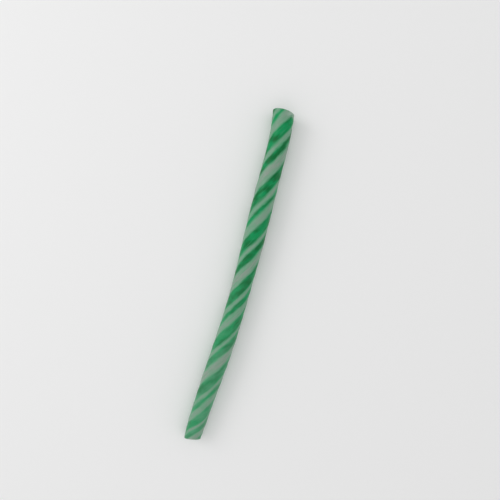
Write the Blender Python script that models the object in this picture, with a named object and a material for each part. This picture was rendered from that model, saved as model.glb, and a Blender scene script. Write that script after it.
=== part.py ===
"""A hard candy stick: one length of pulled sugar, its white and green stripes twisted round it like a rope's strands.

It lies along Y on a narrow flat, with the end that stood uppermost at +Y and the side that showed facing up.
The origin is on the ground, Z = 0, under the middle of its length and of its width.
"""

import math

import bmesh
import bpy
from mathutils import Vector, noise

NODE = "candy_stick"

# Driving dimensions, in metres. Places along the stick are measured from its top end.
LENGTH = 0.127
DIAMETER = 0.00756
TAPER = 0.06  # share by which it is thinner at the bottom end than at the top one
SWELL = 0.036  # share by which it thickens and thins as it was drawn out by hand
FIRST_SWELL = 0.041  # where its first thick stretch lies
SWELL_SPACING = 0.052  # from one thick stretch to the next
END_PINCH = 0.00045  # how far the shears squeezed the warm sugar in at the bottom cut
PINCH_REACH = 0.009  # the squeeze fades out this far from the cut
OVAL = 0.006  # share by which it is wider than round, and less tall
BOW = 0.00175  # how far it bends off the straight line between its ends
BOW_PEAK = 0.072  # where it lies farthest off that line
TOP_HOOK = 0.0014  # how far the top end bends off that line the other way
TOP_HOOK_REACH = 0.018
CREASE_DEPTH = 0.00014  # how far the skin dips where two stripes meet
GREEN_SINK = 0.00005  # how much lower the green stripes' crowns lie than the white ones'
RIM_RADIUS = 0.0005  # softened edge of each cut end
FLAT_DEPTH = 0.00024  # how much of its underside has settled flat

# One turn of the twist takes this length at each end, and tightens steadily from one to the other. Close to both
# ends, where it was held, it was wrung some more.
PITCH_TOP = 0.0371
PITCH_BOTTOM = 0.0364
TOP_TWIST = 0.04  # in turns, within the reach of the hook
END_TWIST = 0.136  # in turns
END_TWIST_REACH = 0.015

# The stripes in their order round the stick: colour, share of one turn, and columns of faces.
STRIPES = (
    ("green", 0.169, 6),
    ("white", 0.072, 4),
    ("green", 0.117, 5),
    ("white", 0.180, 7),
    ("green", 0.176, 7),
    ("white", 0.076, 4),
    ("green", 0.082, 4),
    ("white", 0.128, 6),
)
FIRST_STRIPE_TURN = 0.115  # where the first stripe starts at the top end, in turns past straight up

# The two cuts lean, as slopes across the stick and up it, and their faces are rough.
CUT_LEAN_TOP = (0.0, 0.2)
CUT_LEAN_BOTTOM = (0.17, 0.42)
TOP_CUT_BACK = 0.0012  # how far back of the top end the middle of its cut lies
CUT_LEAN_REACH = 0.008  # the lean fades out this far from the end
CUT_ROUGHNESS = 0.00022
CUT_GRAIN = 0.0011

RINGS = 96  # rings of faces between the two rims
RIM_RINGS = 3
CUT_RINGS = (0.62, 0.28)  # rings of a cut face, as shares of the way out to its edge

# Base colour and roughness of each stripe's sugar.
SUGARS = {
    "white": ((0.27, 0.40, 0.31, 1.0), 0.45),
    "green": ((0.012, 0.23, 0.08, 1.0), 0.40),
}


def clear_scene():
    for thing in list(bpy.data.objects):
        bpy.data.objects.remove(thing, do_unlink=True)


def sugar(name):
    """The pulled sugar of one stripe colour."""
    colour, roughness = SUGARS[name]
    material = bpy.data.materials.new(f"{name}_sugar")
    material.use_nodes = True
    shader = material.node_tree.nodes["Principled BSDF"]
    shader.inputs["Base Color"].default_value = colour
    shader.inputs["Roughness"].default_value = roughness
    shader.inputs["Metallic"].default_value = 0.0
    material.diffuse_color = colour
    return material


def section():
    """The columns of faces round the stick: where each starts in turns, how far the skin dips, and its colour."""
    columns = []
    start = 0.0
    widest = max(share for _, share, _ in STRIPES)
    for colour, share, count in STRIPES:
        rise = CREASE_DEPTH * math.sqrt(share / widest)
        if colour == "green":
            rise -= GREEN_SINK
        for i in range(count):
            across = 2 * i / count - 1
            columns.append((start + share * i / count, CREASE_DEPTH - rise * (1 - across**2), colour))
        start += share
    return columns


def twist(depth):
    """How many turns the stripes have made this far from the top end."""
    loosest = 1 / PITCH_TOP
    tightening = (1 / PITCH_BOTTOM - loosest) / (2 * LENGTH)
    near_top = max(0.0, 1 - depth / TOP_HOOK_REACH)
    near_end = max(0.0, 1 - (LENGTH - depth) / END_TWIST_REACH)
    return loosest * depth + tightening * depth**2 - TOP_TWIST * near_top**2 + END_TWIST * near_end**2


def thickness(depth):
    """The stick's radius this far from the top end."""
    swelling = SWELL * math.cos(2 * math.pi * (depth - FIRST_SWELL) / SWELL_SPACING)
    return DIAMETER / 2 * (1 + TAPER * (0.5 - depth / LENGTH) + swelling)


def bow(depth):
    """How far to +X the stick's middle lies this far from the top end."""
    skew = math.log(0.5) / math.log(BOW_PEAK / LENGTH)
    near_top = max(0.0, 1 - depth / TOP_HOOK_REACH)
    return BOW * math.sin(math.pi * (depth / LENGTH) ** skew) ** 2 - TOP_HOOK * near_top**2


def pinch(depth):
    """How far the skin is squeezed in near the bottom cut."""
    return END_PINCH * max(0.0, 1 - (LENGTH - depth) / PINCH_REACH) ** 2


def cut_lean(depth, across, up):
    """How far along the stick the nearest cut's lean moves a point, fading out with the distance from the cut."""
    near_top = depth < LENGTH / 2
    slope_across, slope_up = CUT_LEAN_TOP if near_top else CUT_LEAN_BOTTOM
    back = TOP_CUT_BACK if near_top else 0.0
    to_cut = min(depth, LENGTH - depth)
    return (slope_across * across + slope_up * up - back) * max(0.0, 1 - to_cut / CUT_LEAN_REACH)


def ring_places():
    """Each ring's depth from the top end, and how far it is drawn in there to soften the rim."""
    rim = []
    for i in range(RIM_RINGS + 1):
        angle = math.pi / 2 * i / RIM_RINGS
        rim.append((RIM_RADIUS * (1 - math.cos(angle)), RIM_RADIUS * (1 - math.sin(angle))))
    plain = LENGTH - 2 * RIM_RADIUS
    body = [(RIM_RADIUS + plain * i / RINGS, 0.0) for i in range(1, RINGS)]
    return rim + body + [(LENGTH - depth, inset) for depth, inset in reversed(rim)]


def place_ring(ring, columns, depth, inset):
    """Puts a ring's points where the twisted skin is at this depth, as the stick lies on the ground."""
    radius = thickness(depth)
    for point, (turn, dip, _) in zip(ring, columns, strict=True):
        angle = 2 * math.pi * (turn + FIRST_STRIPE_TURN - twist(depth))
        reach = radius - pinch(depth) - inset - dip
        across = reach * math.sin(angle) * (1 + OVAL)
        up = reach * math.cos(angle) * (1 - OVAL)
        along = LENGTH / 2 - depth + cut_lean(depth, across, up)
        point.co = (bow(depth) + across, along, radius + up)


def pull_ring(mesh, ring):
    """Extrudes a closed ring of points, and returns the new ring in the same order."""
    edges = [mesh.edges.get((ring[i - 1], ring[i])) for i in range(len(ring))]
    pulled = set(bmesh.ops.extrude_edge_only(mesh, edges=edges)["geom"])
    return [next(e.other_vert(point) for e in point.link_edges if e.other_vert(point) in pulled) for point in ring]


def close_cut(mesh, ring):
    """Closes an end with rings drawn in towards its middle, rough as snapped sugar is."""
    edge = [point.co.copy() for point in ring]
    middle = sum(edge, Vector()) / len(edge)
    for share in CUT_RINGS:
        ring = pull_ring(mesh, ring)
        for point, outer in zip(ring, edge, strict=True):
            point.co = middle.lerp(outer, share)
            point.co.y += CUT_ROUGHNESS * noise.noise(point.co / CUT_GRAIN)
    rim = [mesh.edges.get((ring[i - 1], ring[i])) for i in range(len(ring))]
    lid = bmesh.ops.contextual_create(mesh, geom=rim)["faces"]
    bmesh.ops.poke(mesh, faces=lid)


def colour_faces(mesh, columns, column_of, names):
    """Gives each face the colour of the column of the skin that it belongs to."""
    last = len(columns) - 1
    for face in mesh.faces:
        found = {point[column_of] for point in face.verts}
        column = last if {0, last} <= found else min(found)
        face.material_index = names.index(columns[column][2])


def settle(mesh):
    """Presses the underside flat, and sets the stick on the ground under its middle."""
    ground = min(point.co.z for point in mesh.verts) + FLAT_DEPTH
    for point in mesh.verts:
        point.co.z = max(point.co.z, ground)
    across = [point.co.x for point in mesh.verts]
    along = [point.co.y for point in mesh.verts]
    centre = Vector(((min(across) + max(across)) / 2, (min(along) + max(along)) / 2, ground))
    bmesh.ops.translate(mesh, verts=mesh.verts, vec=-centre)


def candy_stick():
    """The whole stick: its striped section drawn out ring by ring as it is twisted, then cut and settled."""
    columns = section()
    names = list(SUGARS)
    mesh = bmesh.new()
    column_of = mesh.verts.layers.int.new("column")
    top = []
    for i in range(len(columns)):
        point = mesh.verts.new()
        point[column_of] = i
        top.append(point)
    for i in range(len(top)):
        mesh.edges.new((top[i - 1], top[i]))
    places = ring_places()
    place_ring(top, columns, *places[0])
    ring = top
    for depth, inset in places[1:]:
        ring = pull_ring(mesh, ring)
        place_ring(ring, columns, depth, inset)
    close_cut(mesh, top)
    close_cut(mesh, ring)
    colour_faces(mesh, columns, column_of, names)
    settle(mesh)
    bmesh.ops.triangulate(mesh, faces=mesh.faces, quad_method="SHORT_EDGE")
    bmesh.ops.recalc_face_normals(mesh, faces=mesh.faces)
    shape = bpy.data.meshes.new(NODE)
    mesh.to_mesh(shape)
    mesh.free()
    for name in names:
        shape.materials.append(sugar(name))
    shape.shade_smooth()
    shape.set_sharp_from_angle(angle=math.radians(35))
    stick = bpy.data.objects.new(NODE, shape)
    bpy.context.scene.collection.objects.link(stick)


clear_scene()
candy_stick()
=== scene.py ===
import math

import bmesh
import bpy
from mathutils import Matrix, Vector


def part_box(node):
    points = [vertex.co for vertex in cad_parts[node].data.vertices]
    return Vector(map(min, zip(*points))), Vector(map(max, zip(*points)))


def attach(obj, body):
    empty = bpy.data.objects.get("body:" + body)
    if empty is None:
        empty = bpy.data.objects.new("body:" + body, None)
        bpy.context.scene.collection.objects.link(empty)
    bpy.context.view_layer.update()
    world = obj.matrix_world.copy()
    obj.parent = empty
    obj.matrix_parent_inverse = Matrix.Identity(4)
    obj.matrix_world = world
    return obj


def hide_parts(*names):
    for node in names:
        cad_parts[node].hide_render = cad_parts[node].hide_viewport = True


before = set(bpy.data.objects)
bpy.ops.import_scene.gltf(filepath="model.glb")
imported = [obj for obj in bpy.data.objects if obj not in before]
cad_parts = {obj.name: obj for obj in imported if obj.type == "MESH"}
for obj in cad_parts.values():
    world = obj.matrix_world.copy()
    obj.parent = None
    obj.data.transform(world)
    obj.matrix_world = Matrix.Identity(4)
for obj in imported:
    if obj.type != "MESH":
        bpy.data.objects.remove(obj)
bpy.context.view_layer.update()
bpy.ops.object.select_all(action="DESELECT")


# The stick. Boiled sugar is pulled until it turns satin and laid up as a white log, with strips of
# green let into its skin. The log is drawn out thin by hand while it is twisted, and cut to length.
# It is one piece: the stripes are fused, with a shallow crease where two of them meet.

# Its sizes are in metres, and its depths are places along it, measured from its top end.
LENGTH = 0.127
DIAMETER = 0.00756
TAPER = 0.06  # share by which it is thinner at the bottom end than at the top one
SWELL = 0.036  # share by which it thickens and thins as it was drawn out
FIRST_SWELL = 0.041  # depth of its first thick stretch
SWELL_SPACING = 0.052  # from one thick stretch to the next
END_PINCH = 0.00045  # how far the shears squeezed the warm sugar in at the bottom cut
PINCH_REACH = 0.009  # the squeeze fades out this far from the cut
OVAL = 0.006  # share by which it is wider than round, and less tall
BOW = 0.00175  # how far it bends off the straight line between its ends
BOW_PEAK = 0.072  # depth at which it lies farthest off that line
TOP_HOOK = 0.0014  # how far its top end bends off that line the other way
TOP_HOOK_REACH = 0.018
CREASE_DEPTH = 0.00014  # how far the skin dips where two stripes meet
GREEN_SINK = 0.00005  # how much lower the green stripes' crowns lie than the white ones'
RIM_RADIUS = 0.0005  # softened edge of each cut end
PITCH_TOP = 0.0371  # length of one turn of the twist at the top end
PITCH_BOTTOM = 0.0364  # and at the bottom one
TOP_TWIST = 0.04  # turns that it was wrung by besides, within the reach of the hook
END_TWIST = 0.136  # and close to its bottom end
END_TWIST_REACH = 0.015

# The stripes in their order round the stick: colour, share of one turn, columns of faces, and depth
# of the tone.
STRIPES = (
    ("green", 0.169, 6, 0.35),
    ("white", 0.072, 4, 0.50),
    ("green", 0.117, 5, 0.90),
    ("white", 0.180, 7, 0.80),
    ("green", 0.176, 7, 0.70),
    ("white", 0.076, 4, 0.40),
    ("green", 0.082, 4, 0.30),
    ("white", 0.128, 6, 0.30),
)
FIRST_STRIPE_TURN = 0.115  # where the first stripe starts at the top end, in turns past straight up
CUT_LEAN_TOP = (0.0, 0.2)  # slopes of the cut across the stick and up it
CUT_LEAN_BOTTOM = (0.17, 0.42)
TOP_CUT_BACK = 0.0012  # how far back of the top end the middle of its cut lies
CUT_LEAN_REACH = 0.008  # the lean fades out this far from the end
BODY_RINGS = 96  # rings of faces between the two rims
RIM_RINGS = 3
CUT_RINGS = (0.8, 0.55, 0.28)  # rings of a cut face, as shares of the way out to its rim
CUT_CORE = 0.9  # the cuts are rough within this share of the bottom rim's radius
CUT_FACING = 0.99  # only the faces of a cut face this nearly along the stick
TOP_END = LENGTH / 2  # its top end lies this far along +Y
NEAR = 1e-6  # places closer than this count as one


def twist(depth):
    """How many turns the stripes have made this far from the top end."""
    loosest = 1 / PITCH_TOP
    tightening = (1 / PITCH_BOTTOM - loosest) / (2 * LENGTH)
    wrung_top = TOP_TWIST * max(0.0, 1 - depth / TOP_HOOK_REACH) ** 2
    wrung_end = END_TWIST * max(0.0, 1 - (LENGTH - depth) / END_TWIST_REACH) ** 2
    return loosest * depth + tightening * depth**2 - wrung_top + wrung_end


def thickness(depth):
    """The stick's radius this far from the top end."""
    swelling = SWELL * math.cos(2 * math.pi * (depth - FIRST_SWELL) / SWELL_SPACING)
    return DIAMETER / 2 * (1 + TAPER * (0.5 - depth / LENGTH) + swelling)


def pinch(depth):
    """How far the skin is squeezed in near the bottom cut."""
    return END_PINCH * max(0.0, 1 - (LENGTH - depth) / PINCH_REACH) ** 2


def middle(depth):
    """The middle of the stick's section at this depth, with its underside on the level."""
    skew = math.log(0.5) / math.log(BOW_PEAK / LENGTH)
    bow = BOW * math.sin(math.pi * min(1, max(0, depth / LENGTH)) ** skew) ** 2
    hook = TOP_HOOK * max(0.0, 1 - depth / TOP_HOOK_REACH) ** 2
    return Vector((bow - hook, TOP_END - depth, thickness(depth)))


def skin_dips():
    """How far the skin is drawn in at each point of the section, as a share of its radius."""
    widest = max(share for _, share, _, _ in STRIPES)
    dips = []
    for colour, share, columns, _ in STRIPES:
        sink = GREEN_SINK if colour == "green" else 0
        rise = CREASE_DEPTH * math.sqrt(share / widest) - sink
        dips += [CREASE_DEPTH - rise * (1 - (2 * i / columns - 1) ** 2) for i in range(columns)]
    return [dip / (DIAMETER / 2) for dip in [*dips, CREASE_DEPTH]]


def ring_places():
    """Each ring's depth from the top end, and its radius there."""
    rim = []
    for i in range(RIM_RINGS + 1):
        angle = math.pi / 2 * i / RIM_RINGS
        rim.append((RIM_RADIUS * (1 - math.cos(angle)), RIM_RADIUS * (1 - math.sin(angle))))
    plain = LENGTH - 2 * RIM_RADIUS
    body = [(RIM_RADIUS + plain * i / BODY_RINGS, 0.0) for i in range(1, BODY_RINGS)]
    rings = rim + body + [(LENGTH - depth, inset) for depth, inset in reversed(rim)]
    return [(depth, thickness(depth) - pinch(depth) - inset) for depth, inset in rings]


def select_points(test):
    """Selects the points that pass the test in the mesh being edited, and nothing else."""
    edited = bpy.context.edit_object.data
    bpy.ops.mesh.select_all(action="DESELECT")
    for point in bmesh.from_edit_mesh(edited).verts:
        point.select = test(point)
    bmesh.from_edit_mesh(edited).select_flush(True)
    bmesh.update_edit_mesh(edited)


def close_end(depth):
    """Draws the ring at an end in to its middle and closes it."""
    centre = middle(depth)
    select_points(lambda point: abs(point.co.y - centre.y) < NEAR)
    before = 1.0
    for share in CUT_RINGS:
        bpy.ops.mesh.extrude_region_move()
        bpy.ops.transform.resize(value=(share / before,) * 3, center_override=centre)
        before = share
    bpy.ops.mesh.edge_face_add()
    bpy.ops.mesh.poke()


def map_skin(mesh):
    """Maps the skin: U runs round it with the stripes, in turns, and V down it, in lengths.

    On a cut face V goes on past 0 or 1 by the way in from the rim, so it tells the core from the
    skin.
    """
    skin = mesh.uv_layers.new(name="skin")
    _, top_rim = ring_places()[0]
    _, bottom_rim = ring_places()[-1]

    def turn_of(place):
        depth = TOP_END - place.y
        spoke = place - middle(depth)
        return math.atan2(spoke.x, spoke.z) / (2 * math.pi) - FIRST_STRIPE_TURN + twist(depth)

    for face in mesh.polygons:
        on_cut = abs(face.normal.y) > CUT_FACING
        face_turn = turn_of(face.center) % 1
        face.material_index = int(on_cut)
        for loop in face.loop_indices:
            place = mesh.vertices[mesh.loops[loop].vertex_index].co
            depth = TOP_END - place.y
            out = (place - middle(depth)).length
            turn = turn_of(place) % 1 if out > NEAR else face_turn
            turn += round(face_turn - turn)
            rim = top_rim if place.y > 0 else bottom_rim
            way_in = max(0.0, rim - out) if on_cut else 0.0
            skin.data[loop].uv = (turn, (depth - math.copysign(way_in, place.y)) / LENGTH)


outline = bpy.data.meshes.new("striped_stick")
rings = ring_places()
outline.from_pydata([middle(0) + Vector((0, 0, rings[0][1]))], [], [])
stick = bpy.data.objects.new("striped_stick", outline)
bpy.context.scene.collection.objects.link(stick)
bpy.context.view_layer.objects.active = stick
stick.select_set(True)
bpy.ops.object.mode_set(mode="EDIT")

# Its section is spun stripe by stripe, drawn in at the creases, and turned until the first stripe
# starts in its place.
bpy.ops.mesh.select_all(action="SELECT")
for _, share, columns, _ in STRIPES:
    sweep = 2 * math.pi * share
    bpy.ops.mesh.spin(steps=columns, angle=sweep, center=middle(0), axis=(0, -1, 0))
for i, dip in enumerate(skin_dips()):
    select_points(lambda point, i=i: point.index == i)
    bpy.ops.transform.resize(value=(1 - dip,) * 3, center_override=middle(0))
bpy.ops.mesh.select_all(action="SELECT")
bpy.ops.mesh.remove_doubles(threshold=NEAR)
turned = -2 * math.pi * FIRST_STRIPE_TURN
bpy.ops.transform.rotate(value=turned, orient_axis="Y", center_override=middle(0))

# It is pulled out ring by ring while it is twisted, and closed at both cuts.
for (depth, radius), (next_depth, next_radius) in zip(rings[:-1], rings[1:], strict=True):
    centre = middle(next_depth)
    turned = 2 * math.pi * (twist(next_depth) - twist(depth))
    bpy.ops.mesh.extrude_region_move(TRANSFORM_OT_translate={"value": centre - middle(depth)})
    bpy.ops.transform.rotate(value=turned, orient_axis="Y", center_override=centre)
    bpy.ops.transform.resize(value=(next_radius / radius,) * 3, center_override=centre)
close_end(LENGTH)
close_end(0)
bpy.ops.mesh.select_all(action="SELECT")
bpy.ops.mesh.normals_make_consistent(inside=False)

# Extruding leaves the points and faces in another order on each run, and along the seam of the map
# the strands further down would follow that order. So they are sorted by their place.
SLANT = Vector((0.31, 1.0, 0.17))  # a way along which no two of them lie equally far
edited = bmesh.from_edit_mesh(outline)
for elements in (edited.verts, edited.edges, edited.faces):
    elements.sort(key=lambda e: sum(SLANT.dot(point.co) for point in getattr(e, "verts", (e,))))
bmesh.update_edit_mesh(outline)
bpy.ops.object.mode_set(mode="OBJECT")
map_skin(outline)

# The points inside the two cuts are kept as a group, so that only they are roughened.
bpy.ops.object.mode_set(mode="EDIT")
bpy.ops.object.vertex_group_add()
cuts = stick.vertex_groups.active
cuts.name = "cuts"
select_points(
    lambda point: abs(abs(point.co.y) - TOP_END) < NEAR
    and (point.co - middle(TOP_END - point.co.y)).length < CUT_CORE * rings[-1][1]
)
bpy.ops.object.vertex_group_assign()

# The warm stick sags a little oval.
bpy.ops.mesh.select_all(action="SELECT")
bpy.ops.transform.resize(value=(1 + OVAL, 1, 1 - OVAL), center_override=(0, 0, 0))

# The shears leave each cut leaning, and the top one set back. The rings near a cut are turned with
# it, less and less away from it, stretched to the section that they had, and set back with it.
bpy.ops.object.mode_set(mode="OBJECT")
leaning = []
for depth, _ in rings:
    fade = 1 - min(depth, LENGTH - depth) / CUT_LEAN_REACH
    if fade > 0:
        level = TOP_END - depth
        members = {p.index for p in outline.vertices if abs(p.co.y - level) < NEAR}
        near_top = depth < TOP_END
        lean = (CUT_LEAN_TOP, TOP_CUT_BACK) if near_top else (CUT_LEAN_BOTTOM, 0.0)
        leaning.append((middle(depth), fade, lean, members))
bpy.ops.object.mode_set(mode="EDIT")
for centre, fade, ((slope_across, slope_up), back), members in leaning:
    select_points(lambda point, members=members: point.index in members)
    across = math.atan(fade * slope_across)
    wider = 1 / math.cos(across)
    bpy.ops.transform.rotate(value=-across, orient_axis="Z", center_override=centre)
    bpy.ops.transform.resize(value=(wider, wider, 1), center_override=centre)
    up = math.atan(fade * slope_up)
    taller = 1 / math.cos(up)
    bpy.ops.transform.rotate(value=up, orient_axis="X", center_override=centre)
    bpy.ops.transform.resize(value=(1, taller, taller), center_override=centre)
    bpy.ops.transform.translate(value=(0, -back * fade, 0))
bpy.ops.object.mode_set(mode="OBJECT")

# Subdivision rounds the stripes' crowns.
smooth = stick.modifiers.new("smooth", "SUBSURF")
smooth.levels = smooth.render_levels = 2
smooth.uv_smooth = "NONE"
bpy.ops.object.modifier_apply(modifier=smooth.name)

# Pulling leaves strands along the twist, rolling leaves lumps, and the cuts are grainy: name,
# texture coordinates, size of the pattern in them, height, direction, and group.
UNEVENNESS = (
    ("strands", "UV", 0.028, 0.00005, "NORMAL", ""),
    ("lumps", "LOCAL", 0.0034, 0.00012, "NORMAL", ""),
    ("snapped", "LOCAL", 0.0013, 0.00045, "Y", "cuts"),
    ("grain", "LOCAL", 0.0004, 0.00012, "Y", "cuts"),
)
for name, coordinates, size, height, direction, kept_to in UNEVENNESS:
    clouds = bpy.data.textures.new(name, "CLOUDS")
    clouds.noise_scale = size
    uneven = stick.modifiers.new(name, "DISPLACE")
    uneven.texture = clouds
    uneven.texture_coords = coordinates
    uneven.strength = height
    uneven.direction = direction
    uneven.vertex_group = kept_to
    bpy.ops.object.modifier_apply(modifier=uneven.name)

# It is set down where the solid lies, and its underside pressed flat on the ground.
low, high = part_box("candy_stick")
corners = [Vector(corner) for corner in stick.bound_box]
own_low = Vector(min(corner[i] for corner in corners) for i in range(3))
own_high = Vector(max(corner[i] for corner in corners) for i in range(3))
shift = (low + high - own_low - own_high) / 2
shift.z = high.z - own_high.z
bpy.ops.object.mode_set(mode="EDIT")
bpy.ops.mesh.select_all(action="SELECT")
bpy.ops.transform.translate(value=shift)
select_points(lambda point: point.co.z < 0)
bpy.ops.transform.resize(value=(1, 1, 0), center_override=(0, 0, 0))
bpy.ops.object.mode_set(mode="OBJECT")
bpy.ops.object.shade_smooth()


def srgb(red, green, blue):
    """The linear colour that a shader takes for one given as it looks on a screen, 0 to 255."""
    shares = [channel / 255 for channel in (red, green, blue)]
    linear = [s / 12.92 if s <= 0.04045 else ((s + 0.055) / 1.055) ** 2.4 for s in shares]
    return (*linear, 1.0)


def set_input(tree, socket, value):
    """Gives an input a value, or links it to another node's output."""
    if isinstance(value, bpy.types.NodeSocket):
        tree.links.new(value, socket)
    else:
        socket.default_value = value


def node(tree, kind, inputs=None, **settings):
    """Adds a node with these inputs and settings."""
    made = tree.nodes.new(kind)
    for name, value in settings.items():
        setattr(made, name, value)
    for name, value in (inputs or {}).items():
        set_input(tree, made.inputs[name], value)
    return made


def calculate(tree, operation, *values):
    """The result of a Math node."""
    return node(tree, "ShaderNodeMath", dict(enumerate(values)), operation=operation).outputs[0]


def highest(tree, first, *others):
    """The highest of these values."""
    for other in others:
        first = calculate(tree, "MAXIMUM", first, other)
    return first


def spread(tree, value, low, high, start=0.0, end=1.0, soft=False):
    """A value's range from low to high, stretched to run from start to end."""
    limits = {"Value": value, "From Min": low, "From Max": high, "To Min": start, "To Max": end}
    kind = "SMOOTHSTEP" if soft else "LINEAR"
    return node(tree, "ShaderNodeMapRange", limits, interpolation_type=kind).outputs["Result"]


def blend(tree, share, first, second):
    """Two colours mixed by a share of the second. The Mix node's sockets are told by number."""
    mix = node(tree, "ShaderNodeMix", data_type="RGBA")
    for i, value in ((0, share), (6, first), (7, second)):
        set_input(tree, mix.inputs[i], value)
    return mix.outputs[2]


def group(name, inputs, outputs):
    """A new node group with these number inputs and these outputs, and their sockets inside it."""
    tree = bpy.data.node_groups.new(name, "ShaderNodeTree")
    for socket in inputs:
        tree.interface.new_socket(socket, in_out="INPUT", socket_type="NodeSocketFloat")
    for socket, kind in outputs.items():
        tree.interface.new_socket(socket, in_out="OUTPUT", socket_type=f"NodeSocket{kind}")
    given = tree.nodes.new("NodeGroupInput").outputs
    return tree, given, tree.nodes.new("NodeGroupOutput").inputs


def use(tree, made, values):
    """Places a node group with these inputs, and gives its outputs."""
    return node(tree, "ShaderNodeGroup", values, node_tree=made).outputs


def ramp(tree, place, stops):
    """A number that runs in straight lines through these stops, each a place and a height."""
    made = node(tree, "ShaderNodeValToRGB", {"Fac": place})
    elements = made.color_ramp.elements
    for position, height in stops[1:-1]:
        elements.new(position).color = (height, height, height, 1)
    for element, (position, height) in ((elements[0], stops[0]), (elements[-1], stops[-1])):
        element.position = position
        element.color = (height, height, height, 1)
    return made.outputs["Color"]


def strand_noise():
    """Noise drawn out along the strands of sugar, so that it follows the twist without a seam."""
    numbers = ("Turn", "Along", "Grain", "Stretch", "Offset")
    tree, given, result = group("strand_noise", numbers, {"Value": "Float"})
    angle = calculate(tree, "MULTIPLY", given["Turn"], 2 * math.pi)
    across = calculate(tree, "MULTIPLY", calculate(tree, "COSINE", angle), DIAMETER / 2)
    up = calculate(tree, "MULTIPLY", calculate(tree, "SINE", angle), DIAMETER / 2)
    depth = calculate(tree, "MULTIPLY", given["Along"], LENGTH)
    down = calculate(tree, "DIVIDE", depth, given["Stretch"])
    place = node(tree, "ShaderNodeCombineXYZ", {"X": across, "Y": up, "Z": down}).outputs[0]
    terms = {0: place, 1: given["Offset"]}
    moved = node(tree, "ShaderNodeVectorMath", terms, operation="ADD").outputs[0]
    scale = calculate(tree, "DIVIDE", 1.0, given["Grain"])
    sizes = {"Vector": moved, "Scale": scale, "Detail": 3.0, "Roughness": 0.55}
    tree.links.new(node(tree, "ShaderNodeTexNoise", sizes).outputs[0], result["Value"])
    return tree


def stripe_layout():
    """Where a place round the stick lies among the stripes.

    Into White is how far it lies from the nearest border, in metres, below zero on the green
    stripes. Depth is how deep the tone of the stripe is.
    """
    outputs = {"Into White": "Float", "Depth": "Float"}
    tree, given, result = group("stripe_layout", ("Turn",), outputs)
    turn = calculate(tree, "FRACT", given["Turn"])
    edges = [(0.0, 0.5)]
    tones = []
    start = 0.0
    for colour, share, _, depth in STRIPES:
        side = 1 if colour == "white" else -1
        edges += [(start + share / 2, 0.5 + side * share / 2), (start + share, 0.5)]
        tones.append((start + share / 2, depth))
        start += share
    edges[-1] = (1.0, 0.5)
    seam = (tones[0][1] + tones[-1][1]) / 2
    from_border = calculate(tree, "SUBTRACT", ramp(tree, turn, edges), 0.5)
    into_white = calculate(tree, "MULTIPLY", from_border, math.pi * DIAMETER)
    tree.links.new(into_white, result["Into White"])
    tree.links.new(ramp(tree, turn, [(0.0, seam), *tones, (1.0, seam)]), result["Depth"])
    return tree


WHITE_SUGAR = srgb(140, 158, 144)
WHITE_SUGAR_TINTED = srgb(98, 162, 125)
GREEN_SUGAR = srgb(8, 144, 84)
GREEN_SUGAR_DEEP = srgb(0, 106, 52)
GREEN_SUGAR_PALE = srgb(88, 156, 119)
FROSTED_SUGAR = srgb(164, 182, 170)

# Tuples of four, here and below, set a range of one value against a range of another.
GREEN_MOTTLE = (0.3, 0.7, -0.9, 0.9)  # noise, against how much deeper the green's tone is
GREEN_EDGE = (0.0, 0.0007, 0.6, 0.0)  # way in from a border, against how pale the green is
GREEN_STREAKS = (0.55, 0.8, 0.0, 0.45)  # noise, against how pale its streaks make the green
WHITE_EDGE = (0.0, 0.0013, 0.9, 0.0)  # way in from a border, against how green the white is
WHITE_STREAKS = (0.48, 0.7, 0.0, 0.9)  # noise, against how green its streaks make the white
WHITE_CAST = (0.3, 0.8, 0.35, 0.0)  # depth of the tone, against how green the white is all over
WHITE_MOTTLE = (0.5, 0.7, 0.0, 0.4)  # noise, against how much greener than that it is


def sugar_tones():
    """The colour of the sugar: green where White is 0, and white where it is 1."""
    numbers = ("White", "Into White", "Depth", "Mottle", "Streaks", "Painted Haze")
    tree, given, result = group("sugar_tones", numbers, {"Color": "Color"})
    deeper = spread(tree, given["Mottle"], *GREEN_MOTTLE)
    deep = spread(tree, calculate(tree, "ADD", given["Depth"], deeper), 0.0, 1.0)
    green = blend(tree, deep, GREEN_SUGAR, GREEN_SUGAR_DEEP)
    into_green = calculate(tree, "MULTIPLY", given["Into White"], -1.0)
    thin = spread(tree, into_green, *GREEN_EDGE, soft=True)
    streaks = spread(tree, given["Streaks"], *GREEN_STREAKS)
    # The green is pale where it is thin at a border, in its streaks, and under the painted haze:
    # painted light, a pale veil over the green that grows towards the bottom end.
    pale = highest(tree, thin, streaks, given["Painted Haze"])
    green = blend(tree, pale, green, GREEN_SUGAR_PALE)
    near = spread(tree, given["Into White"], *WHITE_EDGE, soft=True)
    streaks = spread(tree, given["Streaks"], *WHITE_STREAKS)
    cast = spread(tree, given["Depth"], *WHITE_CAST)
    greener = spread(tree, given["Mottle"], *WHITE_MOTTLE)
    tinted = highest(tree, near, streaks, calculate(tree, "ADD", cast, greener))
    white = blend(tree, tinted, WHITE_SUGAR, WHITE_SUGAR_TINTED)
    tree.links.new(blend(tree, given["White"], green, white), result["Color"])
    return tree


STRAND_NOISE = strand_noise()
STRIPE_LAYOUT = stripe_layout()
SUGAR_TONES = sugar_tones()
PAINTED_HAZE_DOWN = (0.3, 1.0, 0.0, 0.7)  # share of the length, against how pale the painted haze makes the green: painted light, a pale veil that grows towards the bottom end


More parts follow.
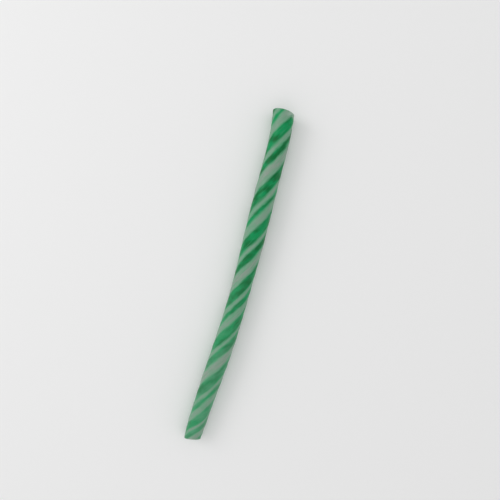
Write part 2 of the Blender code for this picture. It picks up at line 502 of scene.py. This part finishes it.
def sugar_material(name):
    """A new sugar material with its shader's even settings, and its node tree.

    With them come the place round the stick and along it, and the painted haze there: painted
    light, a pale veil that makes the green paler towards the bottom end.
    """
    material = bpy.data.materials.new(name)
    material.use_nodes = True
    tree = material.node_tree
    shader = tree.nodes["Principled BSDF"]
    shader.inputs["IOR"].default_value = 1.5
    shader.inputs["Specular IOR Level"].default_value = 0.14
    shader.inputs["Subsurface Weight"].default_value = 0.2
    shader.inputs["Subsurface Radius"].default_value = (0.35, 1.0, 0.6)
    shader.inputs["Subsurface Scale"].default_value = 0.0008
    skin = node(tree, "ShaderNodeUVMap", uv_map="skin").outputs["UV"]
    turn, along, _ = node(tree, "ShaderNodeSeparateXYZ", {"Vector": skin}).outputs
    return material, tree, turn, along, spread(tree, along, *PAINTED_HAZE_DOWN, soft=True)


def dress(tree, colour, roughness, height, relief):
    """Gives a material its colour, its roughness, and a pattern that stands out by its relief."""
    shader = tree.nodes["Principled BSDF"]
    bump = node(tree, "ShaderNodeBump", {"Height": height, "Distance": relief})
    tree.links.new(colour, shader.inputs["Base Color"])
    tree.links.new(roughness, shader.inputs["Roughness"])
    tree.links.new(bump.outputs["Normal"], shader.inputs["Normal"])


# The noises in the skin: how wide their strands are, how many times longer they are than wide, and
# an offset that sets each noise apart.
STRANDS = {
    "wander": (0.004, 1.5, 1.2),
    "feather": (0.0003, 9.0, 0.2),
    "mottle": (0.0028, 1.5, 1.9),
    "streaks": (0.0005, 10.0, 0.4),
    "haze_patches": (0.004, 1.3, 0.7),
    "chips": (0.0014, 1.0, 0.8),
    "satin": (0.0009, 3.0, 0.5),
    "threads": (0.00022, 16.0, 0.6),
}
BORDER_WANDER = (0.3, 0.7, -0.0004, 0.0004)  # noise, against how far a border strays
BORDER_FEATHER = (0.3, 0.7, -0.00016, 0.00016)  # noise, against how far it is feathered besides
BORDER_BLUR = (-0.0004, 0.0004)  # the way across a border in which green gives way to white
PAINTED_HAZE_PATCHES = (0.35, 0.65, 0.5, 1.5)  # noise, against what the painted haze is multiplied by, so that it lies in patches
SKIN_ROUGHNESS = (0.3, 0.7, 0.26, 0.44)  # noise, against the roughness
THREAD_RELIEF = 0.00003

RIM_FROST_REACH = 0.0016  # how far in from a cut the brittle rim is frosted with chips
CHIPS = (0.4, 0.65, -0.5, 0.5)  # noise, against how much nearer the cut a place counts as
CHIP_FROST = (0.5, 1.3, 0.0, 0.4)  # how near the cut a place counts as, against how frosted it is
CRUSHED_TURN = 0.015  # where the shears crushed the top rim, in turns past the first stripe's start
CRUSHED_REACH = 0.002  # how far down from the rim it is crushed
CRUSHED_RAGGED = 0.35  # how far chips move the edge of the crushed patch, as a share of its reach
CRUSHED_DOWN = (0.35, 1.1, 0.75, 0.0)  # share of its reach, against how frosted the patch is
CRUSHED_AROUND = (0.04, 0.13, 1.0, 0.0)  # turns from its middle, against how much of that is left


def rim_frost(tree, turn, along, chips):
    """How frosted the skin is by the cuts: in chips all round, and where the rim was crushed."""
    from_end = calculate(tree, "MINIMUM", along, calculate(tree, "SUBTRACT", 1.0, along))
    near_end = spread(tree, from_end, 0.0, RIM_FROST_REACH / LENGTH, 1.0, 0.0)
    chipped = spread(tree, calculate(tree, "ADD", near_end, chips), *CHIP_FROST, soft=True)
    around = calculate(tree, "FRACT", calculate(tree, "SUBTRACT", turn, CRUSHED_TURN - 0.5))
    beside = calculate(tree, "ABSOLUTE", calculate(tree, "SUBTRACT", around, 0.5))
    down = calculate(tree, "DIVIDE", along, CRUSHED_REACH / LENGTH)
    ragged = calculate(tree, "MULTIPLY_ADD", chips, CRUSHED_RAGGED, down)
    crushed = spread(tree, ragged, *CRUSHED_DOWN, soft=True)
    left = spread(tree, beside, *CRUSHED_AROUND, soft=True)
    return highest(tree, chipped, calculate(tree, "MULTIPLY", crushed, left))


def skin_material():
    """Satin pulled sugar, green and white, with the streaks of pulling, and a frosted rim."""
    material, tree, turn, along, painted_haze = sugar_material("pulled_sugar_skin")

    def strands(name):
        grain, stretch, offset = STRANDS[name]
        sizes = {"Grain": grain, "Stretch": stretch, "Offset": offset}
        return use(tree, STRAND_NOISE, {"Turn": turn, "Along": along, **sizes})["Value"]

    lie = use(tree, STRIPE_LAYOUT, {"Turn": turn})
    wander = spread(tree, strands("wander"), *BORDER_WANDER)
    feather = spread(tree, strands("feather"), *BORDER_FEATHER)
    strayed = calculate(tree, "ADD", lie["Into White"], wander)
    into_white = calculate(tree, "ADD", strayed, feather)
    # The painted haze, a pale veil of painted light over the green towards the bottom end, is laid
    # on in patches by this noise.
    uneven = spread(tree, strands("haze_patches"), *PAINTED_HAZE_PATCHES)
    values = {
        "White": spread(tree, into_white, *BORDER_BLUR, soft=True),
        "Into White": into_white,
        "Depth": lie["Depth"],
        "Mottle": strands("mottle"),
        "Streaks": strands("streaks"),
        "Painted Haze": calculate(tree, "MULTIPLY", painted_haze, uneven),
    }
    clean = use(tree, SUGAR_TONES, values)["Color"]
    frost = rim_frost(tree, turn, along, spread(tree, strands("chips"), *CHIPS))
    colour = blend(tree, frost, clean, FROSTED_SUGAR)
    roughness = spread(tree, strands("satin"), *SKIN_ROUGHNESS)
    dress(tree, colour, roughness, strands("threads"), THREAD_RELIEF)
    return material


WEDGE_DEPTH = 0.0011  # how deep the widest green strips reach in from the skin
WEDGE_HALF_WIDTH = 0.0019  # how far from its borders a wedge is at its deepest
WEDGE_WANDER = (0.3, 0.7, -0.0002, 0.0002)  # noise, against how far a wedge's edge strays
WEDGE_BLUR = (-0.00008, 0.00012)  # the way across that edge in which green gives way to white
CORE_FROST = (0.35, 0.65, 0.0, 0.3)  # noise, against how frosted a cut is
CUT_ROUGHNESS = (0.3, 0.7, 0.5, 0.75)  # noise, against the roughness
GRAIN_SCALE = 2200.0  # in grains per metre, as is the next one in blotches
BLOTCH_SCALE = 800.0
PORE_SPACING = 0.00024
PORES = (0.55, 0.75, 1.0, 0.0)  # way from a pore's middle plus noise, against how open it is
# The pores are darkened by painted shade, as though shade fell into each hole.
PORE_PAINTED_SHADE = srgb(100, 132, 112)
PORE_PAINTED_SHADE_SHARE = 0.3
PORE_DEPTH = 0.8  # how much of the relief a pore takes away
CUT_RELIEF = 0.00015


def cut_material():
    """The snapped ends: a dull, porous white core, with the green strips as wedges in the rim, and
    painted shade in the pores.
    """
    material, tree, turn, along, painted_haze = sugar_material("pulled_sugar_cut")
    lie = use(tree, STRIPE_LAYOUT, {"Turn": turn})
    past_top = calculate(tree, "MULTIPLY", along, -LENGTH)
    past_bottom = calculate(tree, "MULTIPLY", calculate(tree, "SUBTRACT", along, 1.0), LENGTH)
    way_in = highest(tree, past_top, past_bottom)

    place = node(tree, "ShaderNodeTexCoord").outputs["Object"]
    sizes = {"Vector": place, "Scale": GRAIN_SCALE, "Detail": 3.0}
    grain = node(tree, "ShaderNodeTexNoise", sizes).outputs[0]
    sizes = {"Vector": place, "Scale": BLOTCH_SCALE, "Detail": 2.0}
    blotch = node(tree, "ShaderNodeTexNoise", sizes).outputs[0]
    sizes = {"Vector": place, "Scale": 1 / PORE_SPACING}
    cells = node(tree, "ShaderNodeTexVoronoi", sizes).outputs["Distance"]
    pores = spread(tree, calculate(tree, "ADD", cells, blotch), *PORES, soft=True)

    share = spread(tree, lie["Into White"], 0.0, -WEDGE_HALF_WIDTH)
    wedge = calculate(tree, "MULTIPLY", calculate(tree, "SQRT", share), WEDGE_DEPTH)
    wander = spread(tree, blotch, *WEDGE_WANDER)
    above = calculate(tree, "ADD", calculate(tree, "SUBTRACT", way_in, wedge), wander)
    # The wedges' green takes the same painted haze, a veil of painted light that grows paler
    # towards the bottom end.
    values = {
        "White": spread(tree, above, *WEDGE_BLUR, soft=True),
        "Into White": above,
        "Depth": lie["Depth"],
        "Mottle": blotch,
        "Streaks": 0.0,
        "Painted Haze": painted_haze,
    }
    frost = spread(tree, blotch, *CORE_FROST)
    fresh = blend(tree, frost, use(tree, SUGAR_TONES, values)["Color"], FROSTED_SUGAR)
    # Painted shade darkens the pores.
    painted_pore_shade = calculate(tree, "MULTIPLY", pores, PORE_PAINTED_SHADE_SHARE)
    colour = blend(tree, painted_pore_shade, fresh, PORE_PAINTED_SHADE)
    roughness = spread(tree, grain, *CUT_ROUGHNESS)
    height = calculate(tree, "SUBTRACT", grain, calculate(tree, "MULTIPLY", pores, PORE_DEPTH))
    dress(tree, colour, roughness, height, CUT_RELIEF)
    return material


outline.materials.append(skin_material())
outline.materials.append(cut_material())
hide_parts("candy_stick")
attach(stick, "root")


# The floor. A plain pale sheet of board lies under the stick, far wider than the view. It is there
# for the picture alone.

FLOOR_SIZE = 6.0
FLOOR_DROP = 0.00002  # keeps it clear of the stick's flat underside
BOARD_COLOUR = (0.9, 0.9, 0.9, 1)
BOARD_ROUGHNESS = 0.9

bpy.ops.mesh.primitive_plane_add(size=FLOOR_SIZE, location=(0, 0, -FLOOR_DROP))
floor = bpy.context.object
floor.name = "floor"
board = bpy.data.materials.new("pale_board")
board.use_nodes = True
board_shader = board.node_tree.nodes["Principled BSDF"]
board_shader.inputs["Base Color"].default_value = BOARD_COLOUR
board_shader.inputs["Roughness"].default_value = BOARD_ROUGHNESS
floor.data.materials.append(board)


# The light. A large soft box up on the left aims at the middle of the stick. A pale surround
# lights it evenly from all sides, so that the shadows stay faint.

KEY_PLACE = (-0.48, 0.12, 0.33)
KEY_SIZE = 0.3
KEY_POWER = 0.75
SURROUND_COLOUR = (1, 1, 1, 1)
SURROUND_STRENGTH = 0.78

bpy.ops.object.light_add(type="AREA", location=KEY_PLACE)
key = bpy.context.object
key.name = "key"
key.data.shape = "DISK"
key.data.size = KEY_SIZE
key.data.energy = KEY_POWER
key.rotation_euler = (-key.location).to_track_quat("-Z", "Y").to_euler()
surround = bpy.data.worlds.new("surround")
bpy.context.scene.world = surround
surround.use_nodes = True
background = surround.node_tree.nodes["Background"]
background.inputs["Color"].default_value = SURROUND_COLOUR
background.inputs["Strength"].default_value = SURROUND_STRENGTH
bpy.context.scene.view_settings.view_transform = "Standard"


# The camera. It looks almost straight down on the stick, from nearer its top end, and is rolled so
# that the stick leans as it does in the photograph.

FOCAL_PIXELS = 500
FRAME_PIXELS = 500
SENSOR_WIDTH = 36.0  # in millimetres
CAMERA_PLACE = (-0.00688, 0.04002, 0.18145)
CAMERA_ROLL = math.radians(16.232)
CAMERA_TILT = math.radians(8.75)
NEAREST_SEEN = 0.001

camera = bpy.data.objects.new("camera", bpy.data.cameras.new("camera"))
bpy.context.scene.collection.objects.link(camera)
camera.data.sensor_width = SENSOR_WIDTH
camera.data.lens = SENSOR_WIDTH * FOCAL_PIXELS / FRAME_PIXELS
camera.data.clip_start = NEAREST_SEEN
up_picture = Vector((-math.sin(CAMERA_ROLL), math.cos(CAMERA_ROLL), 0))
looking = -Vector((0, 0, 1)) * math.cos(CAMERA_TILT) - up_picture * math.sin(CAMERA_TILT)
right = looking.cross(up_picture).normalized()
upright = right.cross(looking)
turned_to = Matrix((right, upright, -looking)).transposed().to_4x4()
camera.matrix_world = Matrix.Translation(CAMERA_PLACE) @ turned_to
bpy.context.scene.camera = camera
